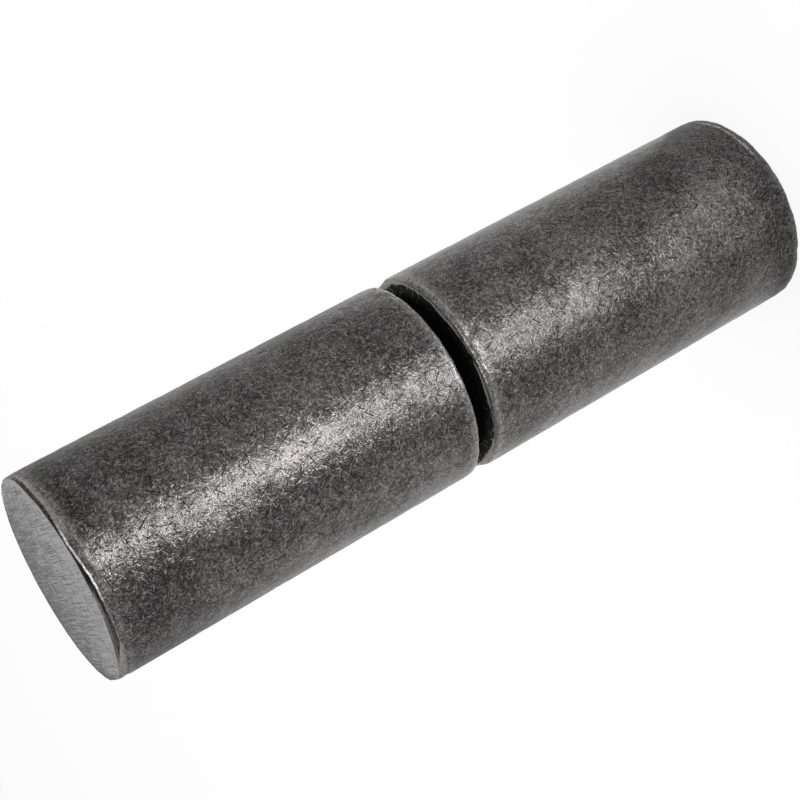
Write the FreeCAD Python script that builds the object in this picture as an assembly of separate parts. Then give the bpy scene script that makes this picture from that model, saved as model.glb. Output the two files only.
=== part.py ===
import FreeCAD, Part
import math
import os

# Weld on barrel hinge, standing on its end.
# A pin is pressed into the lower barrel. The upper barrel drops over the pin and turns on it, and a ball
# on the pin's end, at the bottom of the upper bore, carries its weight and keeps the two barrels apart.
# Lengths are in millimetres. +Z is the hinge line and Z = 0 is the foot of the lower barrel.

# Barrels, both cut from the same round bar
barrel_dia = 25.0
lower_length = 47.8
upper_length = 47.8
running_gap = 2.4

# Solid bar that is left beyond the point of each drilled bore
foot_thickness = 18.0
head_thickness = 9.0

# Broken edges of the barrels: height along the side, and depth in from it
head_edge_height = 1.0
head_edge_depth = 0.5
skirt_edge = 0.5
shoulder_edge = 0.7
foot_edge = 0.4

# Pin and its two fits
pin_dia = 12.0
pin_tip_chamfer = 1.0
pin_root_chamfer = 0.5
press_interference = 0.01
running_clearance = 0.06

# Bores
drill_point_angle = 118.0
mouth_chamfer = 0.8

# Ball: play between it and the bore's wall, and the film of grease at its two seats
ball_side_play = 0.5
seat_film = 0.02

# Radii
barrel_r = barrel_dia / 2
pin_r = pin_dia / 2
press_bore_r = pin_r - press_interference
running_bore_r = pin_r + running_clearance
ball_r = running_bore_r - ball_side_play

# Heights of the drill points
half_angle = math.radians(drill_point_angle / 2)
press_point = press_bore_r / math.tan(half_angle)
running_point = running_bore_r / math.tan(half_angle)

# Levels of the lower half, from the foot up
pin_base = foot_thickness + press_point
shoulder = lower_length

# Levels of the upper half, from its head down: the ball hangs in the drill point, the pin ends below it
skirt = shoulder + running_gap
head = skirt + upper_length
bore_tip = head - head_thickness
bore_end = bore_tip - running_point
ball_centre = bore_tip - (ball_r + seat_film) / math.sin(half_angle)
pin_tip = ball_centre - ball_r - seat_film


def turned(corners):
    """Solid turned about Z from its half section, given as (radius, height) corners in order."""
    points = [FreeCAD.Vector(radius, 0, height) for radius, height in corners]
    section = Part.Face(Part.makePolygon(points + points[:1]))
    return section.revolve(FreeCAD.Vector(0, 0, 0), FreeCAD.Vector(0, 0, 1), 360)


def lower_barrel():
    """Bar with a blind bore from above that grips the pin."""
    return turned([
        (0, 0),
        (barrel_r - foot_edge, 0),
        (barrel_r, foot_edge),
        (barrel_r, shoulder - shoulder_edge),
        (barrel_r - shoulder_edge, shoulder),
        (press_bore_r + mouth_chamfer, shoulder),
        (press_bore_r, shoulder - mouth_chamfer),
        (press_bore_r, pin_base),
        (0, foot_thickness),
    ])


def upper_barrel():
    """Bar with a blind bore from below that turns on the pin, and a drill point that seats the ball."""
    return turned([
        (running_bore_r + mouth_chamfer, skirt),
        (barrel_r - skirt_edge, skirt),
        (barrel_r, skirt + skirt_edge),
        (barrel_r, head - head_edge_height),
        (barrel_r - head_edge_depth, head),
        (0, head),
        (0, bore_tip),
        (running_bore_r, bore_end),
        (running_bore_r, skirt + mouth_chamfer),
    ])


def hinge_pin():
    """Plain pin with a lead for pressing in at its root and one for the upper barrel at its tip."""
    return turned([
        (0, pin_base),
        (pin_r - pin_root_chamfer, pin_base),
        (pin_r, pin_base + pin_root_chamfer),
        (pin_r, pin_tip - pin_tip_chamfer),
        (pin_r - pin_tip_chamfer, pin_tip),
        (0, pin_tip),
    ])


def thrust_ball():
    """Ball between the pin's flat end and the drill point."""
    return Part.makeSphere(ball_r, FreeCAD.Vector(0, 0, ball_centre))


pieces = {
    "lower_barrel": lower_barrel(),
    "hinge_pin": hinge_pin(),
    "thrust_ball": thrust_ball(),
    "upper_barrel": upper_barrel(),
}

os.makedirs("parts", exist_ok=True)
for name, solid in pieces.items():
    solid.exportStep(f"parts/{name}.step")
    print(f"{name}: {solid.Volume:.1f} mm3, z {solid.BoundBox.ZMin:.3f} to {solid.BoundBox.ZMax:.3f}")
print(f"pin held over {shoulder - pin_base:.2f} mm and reaching {pin_tip - skirt:.2f} mm into the upper barrel")
print(f"ball diameter {2 * ball_r:.2f} mm")
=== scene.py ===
# %% [markdown]
# # A weld on barrel hinge, finished in Blender
#
# The hinge is two short bars of round steel in line. A pin is pressed into the lower bar, and the upper
# bar drops over it and turns. This file takes the hinge's exact solids as a fixed frame, and makes the
# surfaces that the eye sees: tumbled bar, sawn ends, broken edges, a ground pin and a bearing ball.
#
# Everything is in metres. Z runs along the hinge line, and the hinge stands on its end on the floor.

# %% Load the frame
import bpy
import math
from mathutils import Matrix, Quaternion, Vector


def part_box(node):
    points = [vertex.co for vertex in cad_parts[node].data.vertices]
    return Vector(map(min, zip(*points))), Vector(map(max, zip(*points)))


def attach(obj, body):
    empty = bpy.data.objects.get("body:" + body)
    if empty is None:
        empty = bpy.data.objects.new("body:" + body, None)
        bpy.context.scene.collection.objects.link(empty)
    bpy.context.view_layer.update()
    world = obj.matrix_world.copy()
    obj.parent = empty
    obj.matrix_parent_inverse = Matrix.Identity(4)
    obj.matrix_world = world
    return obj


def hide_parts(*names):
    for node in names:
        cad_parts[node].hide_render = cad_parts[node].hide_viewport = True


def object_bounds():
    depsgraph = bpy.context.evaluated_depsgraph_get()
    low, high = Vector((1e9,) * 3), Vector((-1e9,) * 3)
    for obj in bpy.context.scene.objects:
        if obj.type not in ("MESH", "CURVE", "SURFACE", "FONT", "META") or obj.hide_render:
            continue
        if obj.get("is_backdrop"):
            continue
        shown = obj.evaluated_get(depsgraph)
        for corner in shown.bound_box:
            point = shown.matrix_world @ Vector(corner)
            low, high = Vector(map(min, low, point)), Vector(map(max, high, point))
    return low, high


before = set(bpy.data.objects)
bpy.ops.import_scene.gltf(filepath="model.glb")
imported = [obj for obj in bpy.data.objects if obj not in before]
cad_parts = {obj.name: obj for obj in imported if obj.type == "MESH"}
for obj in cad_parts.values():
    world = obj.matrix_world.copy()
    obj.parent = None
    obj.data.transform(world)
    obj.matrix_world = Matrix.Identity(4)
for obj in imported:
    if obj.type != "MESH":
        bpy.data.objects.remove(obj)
cad_low, cad_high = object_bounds()
MM = 0.001

# %% [markdown]
# ## Sizes
#
# The frame says how large each piece is, so no overall size is typed here. Only what a bounding box
# can't say is a number of its own: how the edges are broken, how wide the bores are, and the angle of the
# drill that made them.

# %% Read the sizes from the frame
lower_low, lower_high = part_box("lower_barrel")
upper_low, upper_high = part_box("upper_barrel")
pin_low, pin_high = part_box("hinge_pin")
ball_low, ball_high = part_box("thrust_ball")

bar_radius = cad_high.x
pin_radius = pin_high.x
ball_radius = (ball_high.z - ball_low.z) / 2
ball_centre = (ball_high.z + ball_low.z) / 2
foot, shoulder = lower_low.z, lower_high.z
skirt, head = upper_low.z, upper_high.z
pin_root, pin_tip = pin_low.z, pin_high.z

head_edge_height = 1.0 * MM
head_edge_depth = 0.5 * MM
skirt_edge = 0.5 * MM
shoulder_edge = 0.7 * MM
foot_edge = 0.4 * MM
foot_edge_depth = 0.2 * MM
mouth_chamfer = 0.8 * MM
pin_tip_chamfer = 1.0 * MM
pin_root_chamfer = 0.5 * MM
running_clearance = 0.06 * MM
seat_film = 0.02 * MM
half_drill_angle = math.radians(118 / 2)

running_bore = pin_radius + running_clearance
running_tip = ball_centre + (ball_radius + seat_film) / math.sin(half_drill_angle)
running_end = running_tip - running_bore / math.tan(half_drill_angle)
press_tip = pin_root - pin_radius / math.tan(half_drill_angle)
for name, size in (("bar", 2 * bar_radius), ("pin", 2 * pin_radius), ("gap", skirt - shoulder)):
    print(f"{name} {size / MM:.2f} mm")

# %% [markdown]
# ## A short way to add nodes
#
# Both the lathe and the finishes below are node trees, and a tree written out link by link is hard to
# read. So one small class stands for the output of a node: adding or multiplying two of them adds the
# Math node that does it. A second class holds a tree, and its method node adds a node of any other kind.

# %% Fields and benches


class Field:
    """One output of a node. A sum, product or quotient of fields adds Math nodes to its tree."""

    def __init__(self, bench, socket):
        self.bench, self.socket = bench, socket

    def math(self, operation, *others):
        return self.bench.math(operation, self, *others)

    def __add__(self, other):
        return self.math("ADD", other)

    def __sub__(self, other):
        return self.math("SUBTRACT", other)

    def __rsub__(self, other):
        return self.bench.math("SUBTRACT", other, self)

    def __mul__(self, other):
        return self.math("MULTIPLY", other)

    def __truediv__(self, other):
        return self.math("DIVIDE", other)

    def __rtruediv__(self, other):
        return self.bench.math("DIVIDE", other, self)

    def __abs__(self):
        return self.math("ABSOLUTE")

    __radd__, __rmul__ = __add__, __mul__

    def ramp(self, start, end):
        """0 at start and 1 at end, held beyond them, with an eased slope between."""
        return self.bench.node("ShaderNodeMapRange", {"interpolation_type": "SMOOTHSTEP"},
                               {"Value": self, "From Min": start, "From Max": end})

    def band(self, rise, full, fade, gone):
        """1 between full and fade, easing down to 0 at rise below them and at gone above them."""
        return self.ramp(rise, full) * (1.0 - self.ramp(fade, gone))

    def out(self, name):
        """Another output of the same node."""
        return Field(self.bench, self.socket.node.outputs[name])


class Bench:
    """A node tree being put together. Its method node adds a node of any kind, and the rest call it."""

    def __init__(self, tree):
        self.tree = tree

    def node(self, kind, settings, values):
        made = self.tree.nodes.new(kind)
        for name, setting in settings.items():
            setattr(made, name, setting)
        for key, value in values.items():
            socket = made.inputs[key] if isinstance(key, int) else next(
                s for s in made.inputs if s.enabled and s.name == key)
            if isinstance(value, Field):
                self.tree.links.new(value.socket, socket)
            else:
                socket.default_value = value
        return Field(self, next((s for s in made.outputs if s.enabled), None))

    def math(self, operation, *values):
        return self.node("ShaderNodeMath", {"operation": operation}, dict(enumerate(values)))

    def vector(self, operation, *values):
        """Vector arithmetic, which Math nodes would reduce to one number."""
        kind = "ShaderNodeVectorMath"
        if operation == "SCALE":
            return self.node(kind, {"operation": operation}, {"Vector": values[0], "Scale": values[1]})
        return self.node(kind, {"operation": operation}, dict(enumerate(values)))

    def parts(self, vector):
        return self.node("ShaderNodeSeparateXYZ", {}, {"Vector": vector})

    def joined(self, x, y, z):
        return self.node("ShaderNodeCombineXYZ", {}, {"X": x, "Y": y, "Z": z})

    def noise(self, place, scale, detail=2.0, roughness=0.55):
        return self.node("ShaderNodeTexNoise", {"noise_dimensions": "3D"},
                         {"Vector": place, "Scale": scale, "Detail": detail, "Roughness": roughness})


print("ways to add nodes:", [name for name in vars(Bench) if not name.startswith("_")])

# %% [markdown]
# ## Half sections
#
# A piece that was turned on a lathe is fully described by its half section: a line of corners, each
# with a radius from the axis and a height. It could be modelled as a cylinder with bevels, but then every
# edge would have the same bevel. Here each corner gets a small round of its own, because a perfectly
# sharp corner never catches the light, and each run between two corners is cut into short steps, so that
# the surface has enough points to take the dents that come later.
#
# Every point carries three facts that the finish needs: which cut made the surface after it, how far it
# lies from the nearest corner, and how far along the section it is.

# %% Cut a half section into steps
CUTS = ("Side", "Head edge", "Broken edge", "Sawn end", "Faced end", "Bore")
SIDE, LIP, EDGE, SAWN, FACED, BORE = range(len(CUTS))
step_mm = {SIDE: 0.3, LIP: 0.14, EDGE: 0.14, SAWN: 0.6, FACED: 0.6, BORE: 1.8}
step_after = {cut: length * MM for cut, length in step_mm.items()}
corner_round = 0.12 * MM
corner_steps = 2
guard = 0.12 * MM


def rounded(corners):
    """The corners with each inner one replaced by a small round, as (point, cut that follows) pairs."""
    outline = []
    for i, (radius, height, cut) in enumerate(corners):
        corner = Vector((radius, height))
        if i in (0, len(corners) - 1):
            outline.append((corner, cut))
            continue
        back, ahead = (Vector(corners[k][:2]) - corner for k in (i - 1, i + 1))
        reach = min(corner_round, back.length / 3, ahead.length / 3)
        start, end = corner + back.normalized() * reach, corner + ahead.normalized() * reach
        for k in range(corner_steps + 1):
            t = k / corner_steps
            point = start * (1 - t) ** 2 + corner * 2 * t * (1 - t) + end * t ** 2
            outline.append((point, cut if 2 * k >= corner_steps else corners[i - 1][2]))
    return outline


def stepped(outline):
    """The same line with its long runs cut into steps, and a short guard step beside each round."""
    steps = []
    for (point, cut), (goal, _) in zip(outline, outline[1:]):
        steps.append((point, cut))
        run = (goal - point).length
        if run > 3 * guard:
            inner = run - 2 * guard
            count = math.ceil(inner / step_after[cut])
            steps += [(point.lerp(goal, (guard + inner * k / count) / run), cut) for k in range(count + 1)]
    return steps + outline[-1:]


def half_section(name, corners):
    """An object that holds the stepped line in the XZ plane, with its facts as attributes."""
    steps = stepped(rounded(corners))
    spots = [Vector(corner[:2]) for corner in corners[1:-1]]
    mesh = bpy.data.meshes.new(name)
    mesh.from_pydata([(p.x, 0, p.y) for p, _ in steps], [(i, i + 1) for i in range(len(steps) - 1)], [])
    runs = [0.0]
    for (point, _), (goal, _) in zip(steps, steps[1:]):
        runs.append(runs[-1] + (goal - point).length)
    facts = {"cut": ("INT", [cut for _, cut in steps]),
             "rim": ("FLOAT", [min((p - spot).length for spot in spots) for p, _ in steps]),
             "run": ("FLOAT", runs)}
    for fact, (kind, values) in facts.items():
        mesh.attributes.new(fact, kind, "POINT").data.foreach_set("value", values)
    piece = bpy.data.objects.new(name, mesh)
    bpy.context.scene.collection.objects.link(piece)
    print(f"{name}: {len(steps)} points from {len(corners)} corners")
    return piece


print("steps in mm:", {CUTS[cut]: length for cut, length in step_mm.items()})

# %% [markdown]
# ## Broken edges
#
# A workshop breaks a sharp edge with a file or in the tumbler, and the break comes out rounded and not
# flat. A Bevel modifier could do it, but the corners are already at hand here. So a break is a few corners
# on a curve between a straight chamfer and a quarter round, and fullness says how near it is to the round.

# %% Round a broken edge
break_steps = 4
break_fullness = 0.65


def broken(end, into, depth, drop, from_side, cut, next_cut):
    """Corners of a break between a bar's end and its side. into is 1 where the bar lies above the end."""
    corners = []
    for k in range(break_steps + 1):
        t = 1 - k / break_steps if from_side else k / break_steps
        turn = t * math.pi / 2
        out = t + (math.sin(turn) - t) * break_fullness
        down = t + (1 - math.cos(turn) - t) * break_fullness
        corners.append((bar_radius - depth * (1 - out), end + into * drop * down, cut))
    return corners[:-1] + [corners[-1][:2] + (next_cut,)]


print("a break has", break_steps + 1, "corners")

# %% [markdown]
# ## A lathe made of nodes
#
# One node tree spins every section, because that is the rule all these pieces share. The Spin tool could do
# that once, but the tree keeps its sizes as named inputs. So it starts with them: the section, the number
# of steps round, the sizes, and a material for each cut.

# %% Name the lathe's inputs
LATHE_SIZES = ("Bar radius", "Dent depth", "Dent size", "Edge wear", "Uneven break", "Seed")
LATHE_INPUTS = [("Section", "NodeSocketGeometry"), ("Steps round", "NodeSocketInt")]
LATHE_INPUTS += [(size, "NodeSocketFloat") for size in LATHE_SIZES]
LATHE_INPUTS += [(cut, "NodeSocketMaterial") for cut in CUTS]


def empty_lathe():
    """A bench with a tree that has the lathe's inputs and its output, and nothing between them yet."""
    tree = bpy.data.node_groups.new("lathe", "GeometryNodeTree")
    for name, kind in LATHE_INPUTS:
        tree.interface.new_socket(name, in_out="INPUT", socket_type=kind)
    tree.interface.new_socket("Piece", in_out="OUTPUT", socket_type="NodeSocketGeometry")
    return Bench(tree)


print("lathe inputs:", [name for name, _ in LATHE_INPUTS])

# %% [markdown]
# ## A flat grid first
#
# The lathe lays a flat grid with one row for each point of the section and one column for each step round.
# Each point of the grid looks its row's facts up in the section and stores them. The lathe needs some of
# them itself, and the finishes read two: rim, the distance from the nearest corner, and wrap, a map that
# is the surface rolled out flat, in metres.

# %% Lay out the grid


def kept(bench, name, kind="FLOAT"):
    """A fact that was stored on the mesh."""
    return bench.node("GeometryNodeInputNamedAttribute", {"data_type": kind}, {"Name": name})


def keep(bench, mesh, name, kind, domain, value):
    """The mesh with one more fact stored on its points, corners or faces."""
    return bench.node("GeometryNodeStoreNamedAttribute", {"data_type": kind, "domain": domain},
                      {"Geometry": mesh, "Name": name, "Value": value})


def grid_of_facts(bench, take):
    """The grid, and for each of its points the angle round the axis and the place on the section."""
    def of_section(value, where, kind="FLOAT"):
        return bench.node("GeometryNodeSampleIndex", {"data_type": kind, "domain": "POINT", "clamp": True},
                          {"Geometry": take("Section"), "Value": value, "Index": where})

    # One column more than there are steps round, because the last one closes the seam
    rows = bench.node("GeometryNodeAttributeDomainSize", {"component": "MESH"}, {"Geometry": take("Section")})
    columns = take("Steps round") + 1
    grid = bench.node("GeometryNodeMeshGrid", {}, {"Vertices X": rows, "Vertices Y": columns})
    index = bench.node("GeometryNodeInputIndex", {}, {})
    row = ((index + 0.5) / columns).math("FLOOR")
    angle = (index - row * columns) * (2 * math.pi) / take("Steps round")
    spot = bench.parts(of_section(bench.node("GeometryNodeInputPosition", {}, {}), row, "FLOAT_VECTOR"))

    round_the_bar = bench.parts(grid.out("UV Map")).out("Y") * (2 * math.pi) * take("Bar radius")
    mesh = keep(bench, grid, "row", "FLOAT", "POINT", row)
    own_row = kept(bench, "row")
    mesh = keep(bench, mesh, "run", "FLOAT", "POINT", of_section(kept(bench, "run"), own_row))
    mesh = keep(bench, mesh, "rim", "FLOAT", "POINT", of_section(kept(bench, "rim"), own_row))

    # A face lies between two rows, and its cut is the one that begins at the lower of them
    cut = of_section(kept(bench, "cut", "INT"), own_row.math("FLOOR"), "INT")
    mesh = keep(bench, mesh, "cut", "INT", "FACE", cut)
    wrap = bench.joined(round_the_bar, kept(bench, "run"), 0.0)
    return keep(bench, mesh, "wrap", "FLOAT2", "CORNER", wrap), angle, spot


print("facts kept on the grid: row, run, rim, cut and wrap")

# %% [markdown]
# ## Traces of handling
#
# Wrapping the grid about the axis gives a perfect shape, and the tree spoils it a little, as handling does:
# shallow dents on the side, and a worn, uneven line along each broken edge. Both only cut inwards, so a
# piece never outgrows its size. An edge isn't broken alike all round either, so Uneven break fills part of
# it up again, away from the front.

# %% Wrap the grid and wear it
break_zone = (1.0 * MM, 1.3 * MM)
front_part = (0.2, 0.7)
worn_zone = (0.1 * MM, 0.55 * MM)
dented, nicked = (0.42, 0.72), (0.4, 0.72)
smallest_dent, nick_size = 0.1 * MM, 2.0 * MM
outside = (0.5 * running_bore, 1.5 * running_bore)


def worn_place(bench, take, angle, spot):
    """Where each point of the grid goes: round the axis, dented on the side and worn at the corners."""
    # The break of an end is deepest toward the front, and an uneven one fades out round the sides
    frontward = 0.0 - angle.math("COSINE")
    depth = take("Bar radius") - spot
    near_the_side = 1.0 - depth.ramp(*break_zone)
    left_on = take("Uneven break") * (1.0 - frontward.ramp(*front_part)) * near_the_side
    radius = spot + depth * left_on

    outward = bench.joined(0.0 - angle.math("SINE"), angle.math("COSINE"), 0.0)
    height = bench.joined(0.0, 0.0, spot.out("Z"))
    place = bench.vector("ADD", bench.vector("SCALE", outward, radius), height)
    moved_on = bench.vector("ADD", place, bench.joined(take("Seed"), 0.0, 0.0))
    dents = bench.noise(moved_on, 1.0 / take("Dent size").math("MAXIMUM", smallest_dent)).ramp(*dented)
    nicks = bench.noise(moved_on, 1.0 / nick_size, 4.0, 0.6).ramp(*nicked)
    at_rim = 1.0 - kept(bench, "rim").ramp(*worn_zone)
    cut_back = (dents * take("Dent depth") + nicks * at_rim * take("Edge wear")) * spot.ramp(*outside)
    return bench.vector("ADD", bench.vector("SCALE", outward, radius - cut_back), height)


print("nicks along an edge are about", round(nick_size / MM, 1), "mm long")

# %% [markdown]
# ## Seams and materials
#
# The last column lies on the first one, and where a section meets the axis, a whole row of points lies in
# one place. Merging them closes the seam and the poles. Then each face gets the material of the cut that
# made it, and the tree is complete.

# %% Put the lathe together
same_point = 0.001 * MM


def lathe_tree():
    """The node tree that spins a half section into a turned piece."""
    bench = empty_lathe()
    take = bench.node("NodeGroupInput", {}, {}).out
    mesh, angle, spot = grid_of_facts(bench, take)
    moved = worn_place(bench, take, angle, spot)
    mesh = bench.node("GeometryNodeSetPosition", {}, {"Geometry": mesh, "Position": moved})
    mesh = bench.node("GeometryNodeMergeByDistance", {}, {"Geometry": mesh, "Distance": same_point})
    mesh = bench.node("GeometryNodeSetShadeSmooth", {}, {"Geometry": mesh, "Shade Smooth": True})
    mesh = bench.node("GeometryNodeRealizeInstances", {}, {"Geometry": mesh})
    mesh = bench.node("GeometryNodeSetMaterial", {}, {"Geometry": mesh, "Material": take(CUTS[SIDE])})
    for number, name in enumerate(CUTS[LIP:], LIP):
        chosen = bench.node("FunctionNodeCompare", {"data_type": "INT", "operation": "EQUAL"},
                            {2: kept(bench, "cut", "INT"), 3: number})
        mesh = bench.node("GeometryNodeSetMaterial", {},
                          {"Geometry": mesh, "Selection": chosen, "Material": take(name)})
    bench.node("NodeGroupOutput", {}, {"Piece": mesh})
    return bench.tree


lathe = lathe_tree()
print("lathe:", len(lathe.nodes), "nodes")

# %% [markdown]
# ## Taking a piece off the lathe
#
# The tree is live: it would turn the piece again whenever something changed. A finished piece is a plain
# mesh, so the turned shape is copied out of the modifier and the blank section is thrown away.

# %% Spin a section
barrel_steps, pin_steps = 320, 160


def spin(name, corners, sizes, cuts, steps_round):
    """Turns a half section on the lathe and returns the finished piece as a plain mesh."""
    blank = half_section(name + "_section", corners)
    turning = blank.modifiers.new("lathe", "NODES")
    turning.node_group = lathe
    given = {"Steps round": steps_round, **sizes, **cuts}
    for item in lathe.interface.items_tree:
        if item.name in given:
            turning[item.identifier] = given[item.name]
    blank.data.update()
    graph = bpy.context.evaluated_depsgraph_get()
    mesh = bpy.data.meshes.new_from_object(blank.evaluated_get(graph), depsgraph=graph)
    bpy.data.objects.remove(blank)
    mesh.materials.pop(index=0)  # the tree leaves its first slot empty
    mesh.name = name
    piece = bpy.data.objects.new(name, mesh)
    bpy.context.scene.collection.objects.link(piece)
    print(f"{name}: {len(mesh.polygons)} faces, {[m.name for m in mesh.materials]}")
    return piece


print("steps round:", barrel_steps, "for a bar,", pin_steps, "for the pin")

# %% [markdown]
# ## Marks of tumbling
#
# Raw bar that has been tumbled with its neighbours is covered all over in short dents that run every way.
# At a step's distance they are what gives the metal its grain. A noise texture alone looks like cloth or
# stone, because its marks are round, and a picture of scratches would have to repeat. Here each cell of a
# Voronoi texture holds one short stroke, and the cell's random colour sets its angle, bend and depth.
#
# The strokes lie on the map that the lathe stored under the name wrap, so a stroke keeps its size on the
# side and round the edges alike.

# %% Draw one layer of marks


def layer_of_marks(bench, place, cell, length, width, seed):
    """Short strokes, one to a cell and each at its own angle: negative in a cut, positive on a ridge."""
    moved = bench.vector("ADD", place, (seed, 2.7 * seed, 0.0))
    found = bench.node("ShaderNodeTexVoronoi", {"voronoi_dimensions": "2D", "feature": "F1"},
                       {"Vector": moved, "Scale": 1.0 / cell})
    drawn = bench.node("ShaderNodeSeparateColor", {}, {"Color": found.out("Color")})
    turned = bench.node("ShaderNodeVectorRotate", {"rotation_type": "Z_AXIS"},
                        {"Vector": bench.vector("SUBTRACT", moved, found.out("Position")),
                         "Angle": drawn * (2 * math.pi)})
    along = bench.parts(turned)
    bend = (drawn.out("Green") - 0.5) * (0.15 / length)
    across = along.out("Y") + along * along * bend
    beyond_its_end = (abs(along) - 0.5 * length).math("MAXIMUM", 0.0)
    distance = (beyond_its_end * beyond_its_end + across * across).math("SQRT")
    return (1.0 - distance.ramp(0.0, 0.5 * width)) * (drawn.out("Blue") * 2.0 - 0.88)


# Cell, length and width of a stroke in mm, then a seed and, for the short ones, a strength
gouges = (1.3, 1.4, 0.20, 97.3)
tumbling_layers = (
    (0.29, 0.29, 0.17, 3.1, 1.0),
    (0.36, 0.39, 0.18, 17.3, 1.0),
    (0.44, 0.50, 0.19, 41.7, 1.0),
    (0.60, 0.70, 0.20, 71.9, 1.2),
)


def tumbling_marks(bench, wrap):
    """All the short strokes on the bar, from the finest layer to the longest."""
    marks = 0.0
    for cell, length, width, seed, strength in tumbling_layers:
        marks = layer_of_marks(bench, wrap, cell, length, width, seed) * strength + marks
    return marks


print("layers of marks:", len(tumbling_layers))

# %% [markdown]
# ## How every finish starts and ends
#
# A finish starts by asking where a point is: in the solid, on the rolled-out surface, or how far from the
# nearest corner. All three come from the piece itself, so the finish stays with it when it moves. It ends
# in one Principled shader. The heights go through a Bump node, which tilts the light without new faces.

# %% Start and end a finish


def new_finish(name):
    """A material with an empty tree, and the bench to build it on."""
    material = bpy.data.materials.new(name)
    material.use_nodes = True
    material.node_tree.nodes.clear()
    return material, Bench(material.node_tree)


def place_in_solid(bench):
    """Where a point lies in the piece, in millimetres."""
    return bench.vector("SCALE", bench.node("ShaderNodeTexCoord", {}, {}).out("Object"), 1.0 / MM)


def place_on_surface(bench):
    """Where a point lies on the rolled-out surface, in millimetres."""
    return bench.vector("SCALE", bench.node("ShaderNodeUVMap", {"uv_map": "wrap"}, {}), 1.0 / MM)


def from_the_rim(bench):
    """How far a point lies from the nearest corner of the section, in millimetres."""
    return bench.node("ShaderNodeAttribute", {"attribute_name": "rim"}, {}).out("Fac") * (1.0 / MM)


def blend_colours(bench, share, start, end):
    return bench.node("ShaderNodeMix", {"data_type": "RGBA"}, {"Factor": share, "A": start, "B": end})


def steel_output(bench, colour, roughness, height, **sockets):
    """Ends a steel finish with its colour, its roughness and its height in millimetres."""
    normal = bench.node("ShaderNodeBump", {}, {"Height": height, "Distance": MM, "Strength": 1.0})
    values = {"Base Color": colour, "Roughness": roughness, "Metallic": 1.0, "Normal": normal, **sockets}
    shader = bench.node("ShaderNodeBsdfPrincipled", {}, values)
    bench.node("ShaderNodeOutputMaterial", {}, {"Surface": shader})


print("a finish may read: Object coordinates, the map wrap and the attribute rim")

# %% [markdown]
# ## Tumbled steel
#
# The bar is dark, because mill scale still covers most of it, and only the ridges between the marks are
# rubbed grey. So one value, tone, runs from the bottom of a mark to its ridge and sets the colour. Raising
# it to a power keeps most of the metal dark with a few light hairs on it, as the real one has. The ridges
# are also a little rougher, so that they don't glitter in the highlight.
#
# A metal shader alone turns as bright as its surroundings at its outline. Scale is only partly metal, so
# the metallic value stays below 1 and its dull part reflects nothing.

# %% Finish the bar's side
mark_bottom = ((0.0159, 0.0152, 0.0145, 1.0), (0.0159, 0.0149, 0.0149, 1.0))
mark_ridge = ((0.246, 0.234, 0.226, 1.0), (0.248, 0.232, 0.231, 1.0))
rubbed_bright = (0.3, 0.293, 0.285, 1.0)
foot_line_bright = (0.6, 0.59, 0.57, 1.0)
scale_skin = {"Specular Tint": (0.95, 0.95, 0.95, 1.0), "Metallic": 0.78, "Specular IOR Level": 0.0}
# Painted shade darkens the bar toward the head, between these two heights in mm. A painted dark reflection
# lies round a centre, full inside its core and gone at its edge
darker_from, darkest_from = head / MM - 15.0, head / MM - 4.0
dark_reflection_centre, dark_reflection_edge, dark_reflection_core = (-5.5, -11.0, head / MM - 8.0), 9.0, 3.0
foot_line_heights, foot_line_part = (0.7, 0.9, 1.0, 1.3), (3.0, 6.0, 10.5, 12.0)
mark_share, patch_share, broad_share, gouge_share = 0.3, 0.45, 0.4, 0.38
# How far the painted shade toward the head and the painted dark reflection darken the tone
head_shade_share, dark_reflection_share = 0.05, 0.08
mark_height, gouge_depth = 0.0105, 0.022
bar_roughness = 0.31


def bar_colour(bench, solid, tone):
    """From the dark of a mark's bottom to the grey of its ridge, drifting between a warm and a cool hue."""
    hue = bench.noise(solid, 0.22, 1.0).ramp(0.42, 0.58)
    share = (tone + 0.42).ramp(-0.1, 1.1).math("POWER", 1.5)
    bottom, ridge = blend_colours(bench, hue, *mark_bottom), blend_colours(bench, hue, *mark_ridge)
    return blend_colours(bench, share, bottom, ridge)


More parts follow.
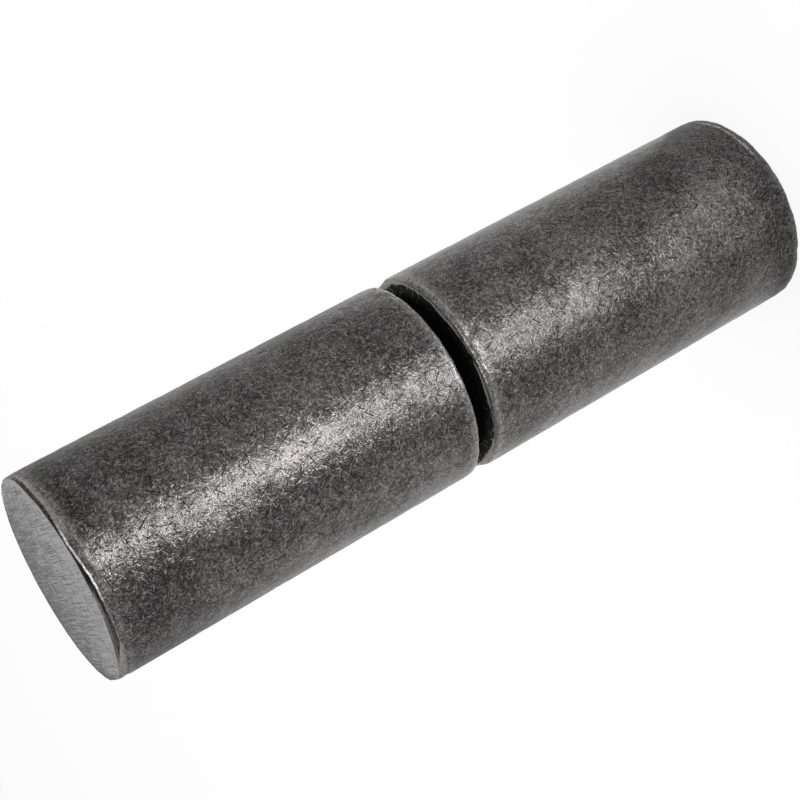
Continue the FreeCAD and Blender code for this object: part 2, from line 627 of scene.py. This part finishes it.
def tumbled_steel(name, wear, wear_reach):
    """Tumbled bar. wear is how much of it is rubbed bright near a corner, up to wear_reach mm from it."""
    material, bench = new_finish(name)
    solid, surface = place_in_solid(bench), place_on_surface(bench)
    spot = bench.parts(solid)
    height = spot.out("Z")

    # Short marks everywhere, a few long gouges and soft patches of scale. Then painted shade toward the head,
    # which dims the highlight there, and on its left a painted dark reflection under the highlight
    marks = tumbling_marks(bench, surface)
    gouge = layer_of_marks(bench, surface, *gouges).ramp(0.0, -0.6)
    patches = bench.noise(solid, 0.35, 5.0, 0.7) - 0.5
    broad = bench.noise(solid, 0.11, 1.0) - 0.5
    # Painted shade toward the head, and a painted dark reflection beside the highlight near it
    head_end_shade = height.ramp(darker_from, darkest_from)
    dark_reflection_spot = bench.vector("DISTANCE", solid, dark_reflection_centre).out("Value").ramp(dark_reflection_edge, dark_reflection_core)
    tone = marks * mark_share + patches * patch_share + broad * broad_share - gouge * gouge_share
    tone = tone - head_end_shade * head_shade_share - dark_reflection_spot * dark_reflection_share

    # Rubbed metal along the corners, broken up by speckle, and one thin line just above the foot's right
    speckle = bench.noise(solid, 2.6, 3.0, 0.7).ramp(0.38, 0.62)
    near_a_corner = 1.0 - (from_the_rim(bench) + patches * 1.2).ramp(0.0, wear_reach)
    worn = near_a_corner * (0.25 + speckle * 0.75) * wear
    on_the_right = spot.band(*foot_line_part)
    above_the_foot = (height + patches * 0.8).band(*foot_line_heights)
    foot_line = above_the_foot * on_the_right * (0.1 + speckle * 0.9)

    colour = blend_colours(bench, worn, bar_colour(bench, solid, tone), rubbed_bright)
    colour = blend_colours(bench, foot_line, colour, foot_line_bright)
    roughness = bar_roughness + tone * 0.05 - worn * 0.09
    steel_output(bench, colour, roughness, marks * mark_height - gouge * gouge_depth, **scale_skin)
    return material


side = tumbled_steel("tumbled_steel", wear=0.45, wear_reach=0.9)
edge = tumbled_steel("worn_edge", wear=0.85, wear_reach=0.7)
print("bar finishes:", side.name, edge.name, "-", len(side.node_tree.nodes), "nodes each")

# %% [markdown]
# ## The break round the head
#
# The edge of the sawn end was knocked off unevenly. At the front the break just under the face is painted
# black as shade, a rubbed line beside it gets a painted highlight, and toward both sides lies a dull warm
# band of bare metal.
# It could be painted as an image, but it is the same few marks whose width depends on two things: how far
# round the bar, which the arctangent of X and Y gives, and how far below the face.

# %% Finish the head's edge
# Near black, painted as shade under the face
painted_shade_black = (0.013, 0.0125, 0.012, 1.0)
lip_grey = (0.26, 0.25, 0.24, 1.0)
# White of the painted highlight on the rubbed line
glint_white = (0.92, 0.90, 0.87, 1.0)
bare_dark = (0.045, 0.042, 0.039, 1.0)
bare_light = (0.225, 0.213, 0.2, 1.0)


def head_edge():
    """Bearings are in degrees from the front: positive toward +X, negative toward -X."""
    material, bench = new_finish("head_edge")
    solid = place_in_solid(bench)
    spot = bench.parts(solid)
    bearing = bench.math("ARCTAN2", spot, 0.0 - spot.out("Y")) * (180.0 / math.pi)
    marks = tumbling_marks(bench, place_on_surface(bench))
    grain = bench.noise(solid, 2.2, 4.0, 0.7)
    wander = (bench.noise(solid, 0.45, 3.0) - 0.5) * 0.35
    depth = head / MM - spot.out("Z") + wander

    # The painted black shade under the face is a thin line at the very front, wide on the left and a shade
    # paler on the right
    shade_part = bearing.band(-66.0, -52.0, 66.0, 84.0)
    wide_left, wide_right = bearing.band(-68.0, -44.0, -14.0, 14.0), bearing.band(16.0, 40.0, 66.0, 84.0)
    shade_end = shade_part * 0.13 + wide_left * 0.42 + wide_right * 0.24
    below_the_step = (depth - shade_end).ramp(-0.1, 0.12)
    painted_shade = (1.0 - below_the_step) * shade_part * (1.0 - wide_right * 0.3)

    # A rubbed line runs along it, smoother than the rest, and a painted highlight makes it white only at the
    # very front
    glint_part = bearing.band(-22.0, -14.0, 14.0, 30.0)
    rubbed_line_glint = (depth - shade_end).band(0.0, 0.11, 0.16, 0.3) * (0.12 + glint_part * 0.88)
    rubbed_line_glint = rubbed_line_glint * (0.35 + grain.ramp(0.35, 0.6) * 0.65)

    # A thin lip of rubbed metal stands between the painted black shade and the face on the left
    lip_part = bearing.band(-75.0, -60.0, -22.0, -6.0)
    lip_line = (1.0 - from_the_rim(bench).ramp(0.02, 0.14)) * (depth + wander).ramp(0.5, 0.3) * lip_part

    # The bare band fades in toward both sides
    toward_the_sides = 1.0 - bearing.band(-52.0, -40.0, 10.0, 26.0)
    band = toward_the_sides * (1.0 - (depth + (grain - 0.5) * 1.2).ramp(0.95, 1.25))
    # Painted highlight: the band is lighter along its middle, from 0.5 to 0.7 mm below the face
    ridge = depth.band(0.25, 0.5, 0.7, 1.0) * 0.14
    band_colour = blend_colours(bench, (grain + marks * 0.12 + ridge).ramp(0.3, 0.7), bare_dark, bare_light)

    colour = blend_colours(bench, band, bar_colour(bench, solid, marks * 0.36), band_colour)
    colour = blend_colours(bench, rubbed_line_glint, colour, glint_white)
    colour = blend_colours(bench, painted_shade, colour, painted_shade_black)
    colour = blend_colours(bench, lip_line * (0.4 + grain * 0.6), colour, lip_grey)
    steel_output(bench, colour, 0.38 - rubbed_line_glint * 0.12, marks * 0.009 + grain * 0.01, **scale_skin)
    return material


lip = head_edge()
print("head edge:", len(lip.node_tree.nodes), "nodes")

# %% [markdown]
# ## The sawn end
#
# A band saw leaves fine lines straight across the bar, and a deeper one wherever it hesitated. Noise that
# is squeezed in one direction and stretched in the other gives such lines. The deep ones are only the
# lowest values of another stretched noise, so they come singly, and a slow noise gathers them in groups.
# Short faint lines cross them, from handling.

# %% Finish the sawn end
saw_turn = math.radians(4.4)
sawn_dark = (0.03, 0.0295, 0.03, 1.0)
sawn_light = (0.385, 0.382, 0.385, 1.0)


def sawn_end():
    material, bench = new_finish("sawn_end")
    solid = place_in_solid(bench)
    turned = bench.node("ShaderNodeVectorRotate", {"rotation_type": "Z_AXIS"},
                        {"Vector": solid, "Angle": saw_turn})

    def stretched(across, along, detail):
        return bench.noise(bench.vector("MULTIPLY", turned, (across, along, 1.0)), 1.0, detail, 0.6)

    # Fine lines along Y, faint ones across them, single deep ones, and a grain over all
    fine = stretched(across=5.4, along=0.15, detail=2.0) - 0.5
    crossing = stretched(across=0.6, along=3.4, detail=2.0) - 0.5
    in_groups = bench.noise(solid, 0.16, 2.0).ramp(0.42, 0.58)
    deep = stretched(across=6.4, along=0.11, detail=1.0).ramp(0.37, 0.31) * (0.2 + in_groups * 0.8)
    grain = bench.noise(solid, 4.2, 3.0, 0.65) - 0.5

    # Painted light makes the face lighter toward the front. Its rim gets a painted highlight there and a
    # painted shadow behind, and is pale at the far right
    spot, rim = bench.parts(solid), from_the_rim(bench)
    painted_front_light = spot.out("Y") * -0.042
    forward = spot.out("Y").ramp(2.0, -4.0)
    painted_rim_highlight = (1.0 - rim.ramp(0.05, 0.2)) * forward * 0.35
    painted_rim_shadow = (1.0 - rim.ramp(0.25, 0.6)) * (1.0 - forward) * 0.75
    burr = (1.0 - rim.ramp(0.5, 0.8)) * spot.ramp(8.5, 11.0)
    lines = fine * 2.3 + crossing * 2.4 - deep * 1.5
    rims = painted_rim_highlight - painted_rim_shadow * (1.0 - burr) + burr * (0.3 + grain * 0.8)
    tone = lines + grain * 3.5 + painted_front_light + rims
    colour = blend_colours(bench, (tone + 0.54).ramp(-0.25, 1.25), sawn_dark, sawn_light)
    steel_output(bench, colour, 0.45 + grain * 0.1, fine * 0.01 - deep * 0.02 + grain * 0.006)
    return material


sawn = sawn_end()
print("saw lines turned", round(math.degrees(saw_turn), 1), "degrees from Y")

# %% [markdown]
# ## Faces that turn against each other, and bored walls
#
# The two ends at the gap never see daylight, so their colour is painted near black as the shade of the gap,
# with a few light scratches near the rim, and round the very rim runs a bare grey strip of uneven width. A
# bored wall carries the fine rings of the tool that cut it: noise that changes only with height, so that it
# runs round the bore.

# %% Finish the faced ends and the bores
# Near black, as painted shade for the gap between the bars
painted_gap_shade = ((0.008, 0.008, 0.0075, 1.0), (0.018, 0.0175, 0.0165, 1.0))
scratch_bright = (0.75, 0.74, 0.72, 1.0)
scratches = (0.8, 1.5, 0.13, 5.3)  # cell, length and width in mm, and a seed
bare_strip = (0.6, 0.58, 0.56, 1.0)
bore_steel = ((0.06, 0.058, 0.056, 1.0), (0.12, 0.117, 0.113, 1.0))


def faced_end():
    material, bench = new_finish("faced_end")
    solid = place_in_solid(bench)
    spot = bench.parts(solid)
    radius = bench.vector("LENGTH", bench.joined(spot, spot.out("Y"), 0.0)).out("Value")
    rim = bar_radius / MM
    rings = bench.noise(bench.joined(radius * 5.0, 0.0, 0.0), 1.0, 3.0)
    grain = bench.noise(solid, 2.5, 2.0)
    scratch = (layer_of_marks(bench, solid, *scratches) * 1.5).ramp(0.0, 1.0)
    near_the_rim = radius.ramp(rim - 3.0, rim - 1.0)
    wiped = near_the_rim * (0.2 + abs(spot).ramp(5.5, 10.0) * 0.8)
    colour = blend_colours(bench, grain.ramp(0.3, 0.7), *painted_gap_shade)
    colour = blend_colours(bench, wiped * (0.07 + scratch * 0.9), colour, scratch_bright)

    # The inner line of the bare strip wanders, and in some places the strip runs out
    wander = (bench.noise(solid, 0.24, 3.0) - 0.5) * 1.8
    strip = (radius + wander + (grain - 0.5) * 0.3).ramp(rim - 1.0, rim - 0.85)
    colour = blend_colours(bench, strip * (0.55 + grain * 0.9), colour, bare_strip)
    dull = {"Specular Tint": (0.3, 0.3, 0.3, 1.0), "Metallic": 0.5, "Specular IOR Level": 0.0}
    steel_output(bench, colour, 0.55 + grain * 0.1, rings * 0.008 + grain * 0.004, **dull)
    return material


def bored_wall():
    material, bench = new_finish("bored_wall")
    solid = place_in_solid(bench)
    rings = bench.noise(bench.joined(0.0, 0.0, bench.parts(solid).out("Z") * 3.0), 1.0, 3.0)
    grain = bench.noise(solid, 2.0, 2.0)
    colour = blend_colours(bench, grain.ramp(0.3, 0.7), *bore_steel)
    steel_output(bench, colour, 0.3 + grain * 0.15, rings * 0.006 + grain * 0.004)
    return material


faced, bored = faced_end(), bored_wall()
print("inner finishes:", faced.name, bored.name)

# %% [markdown]
# ## Ground pin and bearing ball
#
# Both are bright steel that was ground after it was hardened. The pin keeps the faint rings of the
# grinding wheel, and a thin film of grease dulls it in places. The ball is polished nearly to a mirror,
# and scuffs too fine to see singly take the edge off what it reflects.

# %% Finish the pin and the ball
pin_steel = ((0.34, 0.335, 0.33, 1.0), (0.42, 0.415, 0.41, 1.0))
ball_bright = ((0.5, 0.495, 0.49, 1.0), (0.6, 0.6, 0.6, 1.0))


def ground_steel():
    material, bench = new_finish("ground_steel")
    solid = place_in_solid(bench)
    rings = bench.noise(bench.vector("MULTIPLY", solid, (0.2, 0.2, 9.0)), 1.0, 3.0)
    film = bench.noise(solid, 0.35, 3.0)
    colour = blend_colours(bench, film.ramp(0.35, 0.65), *pin_steel)
    steel_output(bench, colour, 0.22 + film * 0.14 + rings * 0.05, rings * 0.003)
    return material


def ball_steel():
    material, bench = new_finish("ball_steel")
    solid = place_in_solid(bench)
    film = bench.noise(solid, 0.6, 3.0)
    scuffs = bench.noise(solid, 5.0, 2.0)
    colour = blend_colours(bench, film.ramp(0.35, 0.65), *ball_bright)
    steel_output(bench, colour, 0.08 + film * 0.12, scuffs * 0.0015)
    return material


ground, polished = ground_steel(), ball_steel()
print("bearing finishes:", ground.name, polished.name)

# %% [markdown]
# ## The upper bar
#
# It is a bar with a blind bore from below, and the part of the hinge that turns and lifts off. Its section
# runs from the middle of the head, over the break, down the side, round the mouth of the bore and up to
# the drill point, where the ball sits. The real head was broken hardest at the front, so Uneven break
# leaves only a fifth of the bar's breaks round the sides and the back.

# %% Turn the upper bar
barrel_cuts = dict(zip(CUTS, (side, lip, edge, sawn, faced, bored)))
barrel_sizes = {"Bar radius": bar_radius, "Dent depth": 0.05 * MM, "Dent size": 1.6 * MM,
                "Edge wear": 0.16 * MM}

upper = spin("upper_bar", [
    (0, head, SAWN),
    *broken(head, -1, head_edge_depth, 1.2 * head_edge_height, False, LIP, SIDE),
    *broken(skirt, 1, skirt_edge, skirt_edge, True, EDGE, FACED),
    (running_bore + mouth_chamfer, skirt, EDGE),
    (running_bore, skirt + mouth_chamfer, BORE),
    (running_bore, running_end, BORE),
    (0, running_tip, BORE),
], {**barrel_sizes, "Uneven break": 0.8, "Seed": 0.31}, barrel_cuts, barrel_steps)
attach(upper, "upper_half")
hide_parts("upper_barrel")

# %% [markdown]
# ## The lower bar
#
# It is the same bar with its bore from above, and the pin is pressed into it. Its foot was sawn and then
# only just broken, and its breaks are more even than the upper bar's. The section starts at the bore's
# drill point and ends in the middle of the foot, so that it goes the same way round as the other one and
# all faces point outwards.

# %% Turn the lower bar
lower = spin("lower_bar", [
    (0, press_tip, BORE),
    (pin_radius, pin_root, BORE),
    (pin_radius, shoulder - mouth_chamfer, EDGE),
    (pin_radius + mouth_chamfer, shoulder, FACED),
    *broken(shoulder, -1, shoulder_edge, shoulder_edge, False, EDGE, SIDE),
    *broken(foot, 1, foot_edge_depth, foot_edge, True, EDGE, SAWN),
    (0, foot, SAWN),
], {**barrel_sizes, "Uneven break": 0.55, "Seed": 0.77}, barrel_cuts, barrel_steps)
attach(lower, "lower_half")
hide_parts("lower_barrel")

# %% [markdown]
# ## The pin and the ball
#
# The pin is a plain rod with a chamfer at each end, and shows only when the upper bar is lifted. It comes
# off the same lathe, with almost no wear. The ball needs no new shape, because a sphere from the exact
# solids is already right, so it keeps its mesh and only gets its finish.

# %% Turn the pin and polish the ball
pin_cuts = dict(zip(CUTS, (ground, ground, edge, ground, faced, ground)))
pin_sizes = {"Bar radius": pin_radius, "Dent depth": 0.0, "Dent size": 1.0 * MM, "Edge wear": 0.02 * MM}
pin = spin("pin", [
    (0, pin_tip, FACED),
    (pin_radius - pin_tip_chamfer, pin_tip, EDGE),
    (pin_radius, pin_tip - pin_tip_chamfer, SIDE),
    (pin_radius, pin_root + pin_root_chamfer, EDGE),
    (pin_radius - pin_root_chamfer, pin_root, FACED),
    (0, pin_root, FACED),
], {**pin_sizes, "Uneven break": 0.0, "Seed": 0.5}, pin_cuts, pin_steps)
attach(pin, "lower_half")
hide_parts("hinge_pin")

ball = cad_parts["thrust_ball"]
ball.data.materials.clear()
ball.data.materials.append(polished)
print("ball:", len(ball.data.polygons), "faces from the exact solids")

# %% [markdown]
# ## Camera
#
# The photograph shows the hinge lying across the picture, and here it stands on its end. So the camera
# looks down on it from the front and is rolled on its side, until the hinge lies across the picture in the
# same way. Its place, its lens and the two directions below came from fitting the outline of the two bars.

# %% Set up the camera
lens_px, frame_px = 1797.5, 800
sensor_mm = 36.0
camera_distance, camera_height = 0.19394, 0.13527
camera_back = Vector((0.00397, -0.92063, 0.39043)).normalized()
camera_up = Vector((0.87538, -0.18554, -0.44641))

camera = bpy.data.objects.new("camera", bpy.data.cameras.new("camera"))
bpy.context.scene.collection.objects.link(camera)
camera.data.sensor_width = sensor_mm
camera.data.lens = lens_px / frame_px * sensor_mm
camera.data.clip_start, camera.data.clip_end = 0.005, 50.0
camera.location = (0.0, -camera_distance, camera_height)
upright = (-camera_back).to_track_quat("-Z", "Y")
level_up = upright @ Vector((0, 1, 0))
level_right = upright @ Vector((1, 0, 0))
roll = math.atan2(camera_up.dot(level_right), camera_up.dot(level_up))
camera.rotation_mode = "QUATERNION"
camera.rotation_quaternion = upright @ Quaternion((0, 0, 1), -roll)
bpy.context.scene.camera = camera
print(f"lens {camera.data.lens:.1f} mm, roll {math.degrees(roll):.2f} degrees")

# %% [markdown]
# ## White floor and sky
#
# A product photograph has a pure white ground, which no lamp reaches without bleaching the object too. So
# the floor is a white paper that shows itself to the camera as mostly self-lit white, while it still
# takes a faint shadow. Scattered light sees plain paper, and what the steel mirrors is a floor somewhat
# below white. A black card stood on the left, and its mirror image is the dark stripe under the highlight of
# the upper bar, so the mirrored floor is darker in a wedge there. The sky is white to the camera as well,
# and dimmer in a band above, because the dark body of the hinge needs something dark to mirror.

# %% Lay the floor and hang the sky
half_floor = 4.0
self_lit_share = 0.85
mirrored_floor = 0.57
wedge_depth, lighter_beside_it = 0.5, 0.15
wedge_bearings, lighter_bearings = (24.0, 34.0, 62.0, 68.0), (64.0, 72.0, 100.0, 130.0)
wedge_starts, wedge_full = 80.0, 140.0
paper_white = (0.95, 0.95, 0.95, 1.0)
dim_band, dimming = (0.25, 0.6, 0.8, 0.97), 0.65


def floor_finish():
    material, bench = new_finish("floor_paper")
    path = bench.node("ShaderNodeLightPath", {}, {})
    to_the_eye = path.math("MAXIMUM", path.out("Is Transmission Ray"))
    seen = to_the_eye.math("MAXIMUM", path.out("Is Glossy Ray"))
    paper = bench.node("ShaderNodeBsdfDiffuse", {}, {"Color": paper_white})

    # The wedge lies between bearings, in degrees from the front toward -X, and starts some way out, which
    # is in millimetres. The floor beside it is a shade lighter.
    place = place_in_solid(bench)
    spot = bench.parts(place)
    bearing = bench.math("ARCTAN2", 0.0 - spot, 0.0 - spot.out("Y")) * (180.0 / math.pi)
    far_out = bench.vector("LENGTH", place).out("Value").ramp(wedge_starts, wedge_full)
    wedge, lighter = bearing.band(*wedge_bearings), bearing.band(*lighter_bearings)
    mirrored = mirrored_floor + (lighter * lighter_beside_it - wedge * wedge_depth) * far_out
    shade = mirrored + to_the_eye * (1.0 - mirrored)
    glow = bench.node("ShaderNodeEmission", {}, {"Color": bench.joined(shade, shade, shade)})
    mixed = bench.node("ShaderNodeMixShader", {}, {0: seen * self_lit_share, 1: paper, 2: glow})
    bench.node("ShaderNodeOutputMaterial", {}, {"Surface": mixed})
    return material


corners = [(x * half_floor, y * half_floor, 0.0) for x, y in ((-1, -1), (1, -1), (1, 1), (-1, 1))]
floor_mesh = bpy.data.meshes.new("floor")
floor_mesh.from_pydata(corners, [], [(0, 1, 2, 3)])
floor_mesh.materials.append(floor_finish())
floor = bpy.data.objects.new("floor", floor_mesh)
bpy.context.scene.collection.objects.link(floor)
floor.location.z = cad_low.z
floor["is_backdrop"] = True

world = bpy.data.worlds.new("studio")
bpy.context.scene.world = world
world.use_nodes = True
world.node_tree.nodes.clear()
air = Bench(world.node_tree)
upward = air.parts(air.node("ShaderNodeTexCoord", {}, {}).out("Generated")).out("Z")
dimmed = 1.0 - upward.band(*dim_band) * dimming
strength = dimmed.math("MAXIMUM", air.node("ShaderNodeLightPath", {}, {}))
sky = air.node("ShaderNodeBackground", {}, {"Color": (1.0, 1.0, 1.0, 1.0), "Strength": strength})
air.node("ShaderNodeOutputWorld", {}, {"Surface": sky})
print("floor at", round(floor.location.z / MM, 2), "mm")

# %% [markdown]
# ## Lamps
#
# The long highlight is the mirror image of a strip of light. A level look at a standing bar reflects the
# floor in front of it, so the strip lies on the floor and runs toward the camera. It is cut in parts,
# because the highlight is brighter near the head, which mirrors the far part, and the last part stands
# upright behind the camera. Dim cards on the floor beside the bar and in front of it lighten its sides, and
# one soft lamp overhead lights the paper and casts the shadow.
#
# Each lamp is given by its brightness, how many times white it is, and the power follows from its area.

# %% Place the lamps
UP, DOWN, TO_THE_BACK = (math.pi, 0, 0), (0, 0, 0), (math.pi / 2, 0, 0)
just_above = 0.001


def softbox(name, at, facing, width, depth, brightness):
    """A rectangular lamp of a given brightness, out of the camera's sight."""
    lamp = bpy.data.lights.new(name, "AREA")
    lamp.shape = "RECTANGLE"
    lamp.size, lamp.size_y = width, depth
    lamp.energy = brightness * math.pi * width * depth
    holder = bpy.data.objects.new(name, lamp)
    bpy.context.scene.collection.objects.link(holder)
    holder.location = at
    holder.rotation_euler = facing
    holder.visible_camera = False
    print(f"{name}: {lamp.energy:.4f} W")


# Name, centre in metres, the way it faces, width, depth and brightness
softbox("overhead", (0, 0, 1.2), DOWN, 0.6, 0.6, 6.0)
softbox("foot_strip", (-0.001, -0.027, just_above), UP, 0.026, 0.018, 1.15)
softbox("near_strip", (-0.0095, -0.076, just_above), UP, 0.056, 0.038, 4.3)
softbox("middle_strip", (-0.011, -0.1425, just_above), UP, 0.056, 0.095, 7.9)
softbox("far_strip", (-0.015, -0.345, just_above), UP, 0.078, 0.31, 20.6)
softbox("upright_strip", (-0.01, -0.63, 0.14), TO_THE_BACK, 0.09, 0.26, 3.8)
softbox("left_card", (-0.265, 0.11, just_above), UP, 0.37, 0.3, 0.6)
softbox("foot_left_card", (-0.047, 0.074, just_above), UP, 0.066, 0.172, 0.6)
softbox("right_card", (0.057, 0.061, just_above), UP, 0.086, 0.118, 0.75)
softbox("far_right_card", (0.17, 0.2, just_above), UP, 0.16, 0.2, 0.55)
softbox("front_left_card", (-0.057, -0.054, just_above), UP, 0.046, 0.08, 0.4)
softbox("front_right_card", (0.047, -0.062, just_above), UP, 0.05, 0.055, 0.4)

bpy.context.scene.view_settings.view_transform = "Standard"

# %% [markdown]
# ## The size
#
# The dents and the wear only cut inwards, so the finished hinge must fill the same box as the exact
# solids. Both boxes are printed next to each other.

# %% Print both sizes
new_low, new_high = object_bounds()
for name, low, high in (("exact", cad_low, cad_high), ("finished", new_low, new_high)):
    print(name, "size in mm:", [round(length / MM, 3) for length in high - low])
